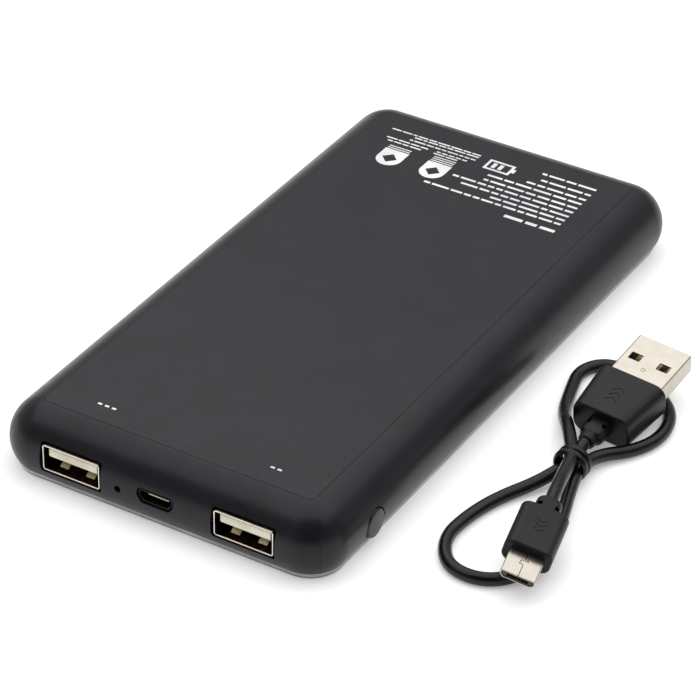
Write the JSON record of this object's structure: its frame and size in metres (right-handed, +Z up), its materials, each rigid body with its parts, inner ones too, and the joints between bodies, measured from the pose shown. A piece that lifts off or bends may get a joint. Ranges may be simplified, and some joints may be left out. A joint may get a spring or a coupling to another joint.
{
  "type": "power bank",
  "caption": "Slim rectangular power bank with rounded sides, USB-A outlets, a micro-USB inlet, a side push button and a short tied charge cable.",
  "frame": {"origin": "centre of the slab's underside", "axes": "+Z up through the slab's thickness, +Y along its length away from the ports, +X towards the push button"},
  "size_m": [0.1092, 0.1438, 0.0145],
  "materials": {
    "shell_plastic": "fine-textured black",
    "cover_plastic": "satin dark grey",
    "plate_plastic": "satin grey",
    "cell_pouch": "laminated foil",
    "white_tape": "adhesive film",
    "foam": "closed-cell foam",
    "nickel_strip": "nickel-plated",
    "red_insulation": "silicone",
    "black_insulation": "silicone",
    "board_laminate": "solder mask",
    "ferrite": "moulded ferrite",
    "chip_resin": "moulded resin",
    "capacitor_ceramic": "fired",
    "port_metal": "nickel-plated",
    "port_insulator": "cream moulded",
    "contact_metal": "gold-plated",
    "dark_insulator": "moulded",
    "led_resin": "clear resin",
    "clear_plastic": "frosted clear",
    "switch_housing": "stamped cover",
    "button_plastic": "satin black",
    "plug_metal": "nickel-plated",
    "plug_insulator": "moulded",
    "grip_plastic": "matt black",
    "cord_jacket": "satin black jacket",
    "tie_rubber": "satin black"
  },
  "bodies": {
    "bank": {"upper_shell": "shell_plastic", "lower_cover": "cover_plastic", "base_plate": "plate_plastic", "cell_lower": "cell_pouch", "cell_tape": "white_tape", "cell_upper": "cell_pouch", "foam_pad": "foam", "positive_strip": "nickel_strip", "negative_strip": "nickel_strip", "red_wire": "red_insulation", "black_wire": "black_insulation", "circuit_board": "board_laminate", "power_inductor": "ferrite", "boost_controller": "chip_resin", "charge_controller": "chip_resin", "battery_protector": "chip_resin", "board_capacitors": "capacitor_ceramic", "usb_port_left_shell": "port_metal", "usb_port_left_tongue": "port_insulator", "usb_port_left_contacts": "contact_metal", "usb_port_right_shell": "port_metal", "usb_port_right_tongue": "port_insulator", "usb_port_right_contacts": "contact_metal", "micro_port_shell": "port_metal", "micro_port_tongue": "dark_insulator", "micro_port_contacts": "contact_metal", "indicator_led": "led_resin", "light_pipe": "clear_plastic", "switch_body": "switch_housing"},
    "button": {"button_cap": "button_plastic"},
    "plunger": {"switch_plunger": "dark_insulator"},
    "cable": {"usb_plug_shell": "plug_metal", "usb_plug_insulator": "plug_insulator", "usb_plug_contacts": "contact_metal", "usb_plug_grip": "grip_plastic", "usb_plug_relief": "grip_plastic", "micro_plug_shell": "plug_metal", "micro_plug_insulator": "dark_insulator", "micro_plug_contacts": "contact_metal", "micro_plug_grip": "grip_plastic", "micro_plug_relief": "grip_plastic", "charge_cord": "cord_jacket", "cord_tie": "tie_rubber"}
  },
  "joints": [
    {"name": "button_press", "type": "slide", "parent": "bank", "child": "button", "axis": [-1, 0, 0], "range_m": [0, 0.00035], "stiffness_N_per_m": 3000, "springref_m": -0.0001},
    {"name": "plunger_press", "type": "slide", "parent": "bank", "child": "plunger", "axis": [-1, 0, 0], "range_m": [0, 0.00035]},
    {"name": "cable_lift", "type": "slide", "parent": "bank", "child": "cable", "axis": [0, 0, 1], "range_m": [0, 0.05]}
  ],
  "couplings": [
    {"joint": "plunger_press", "follows": "button_press", "ratio": 1}
  ]
}
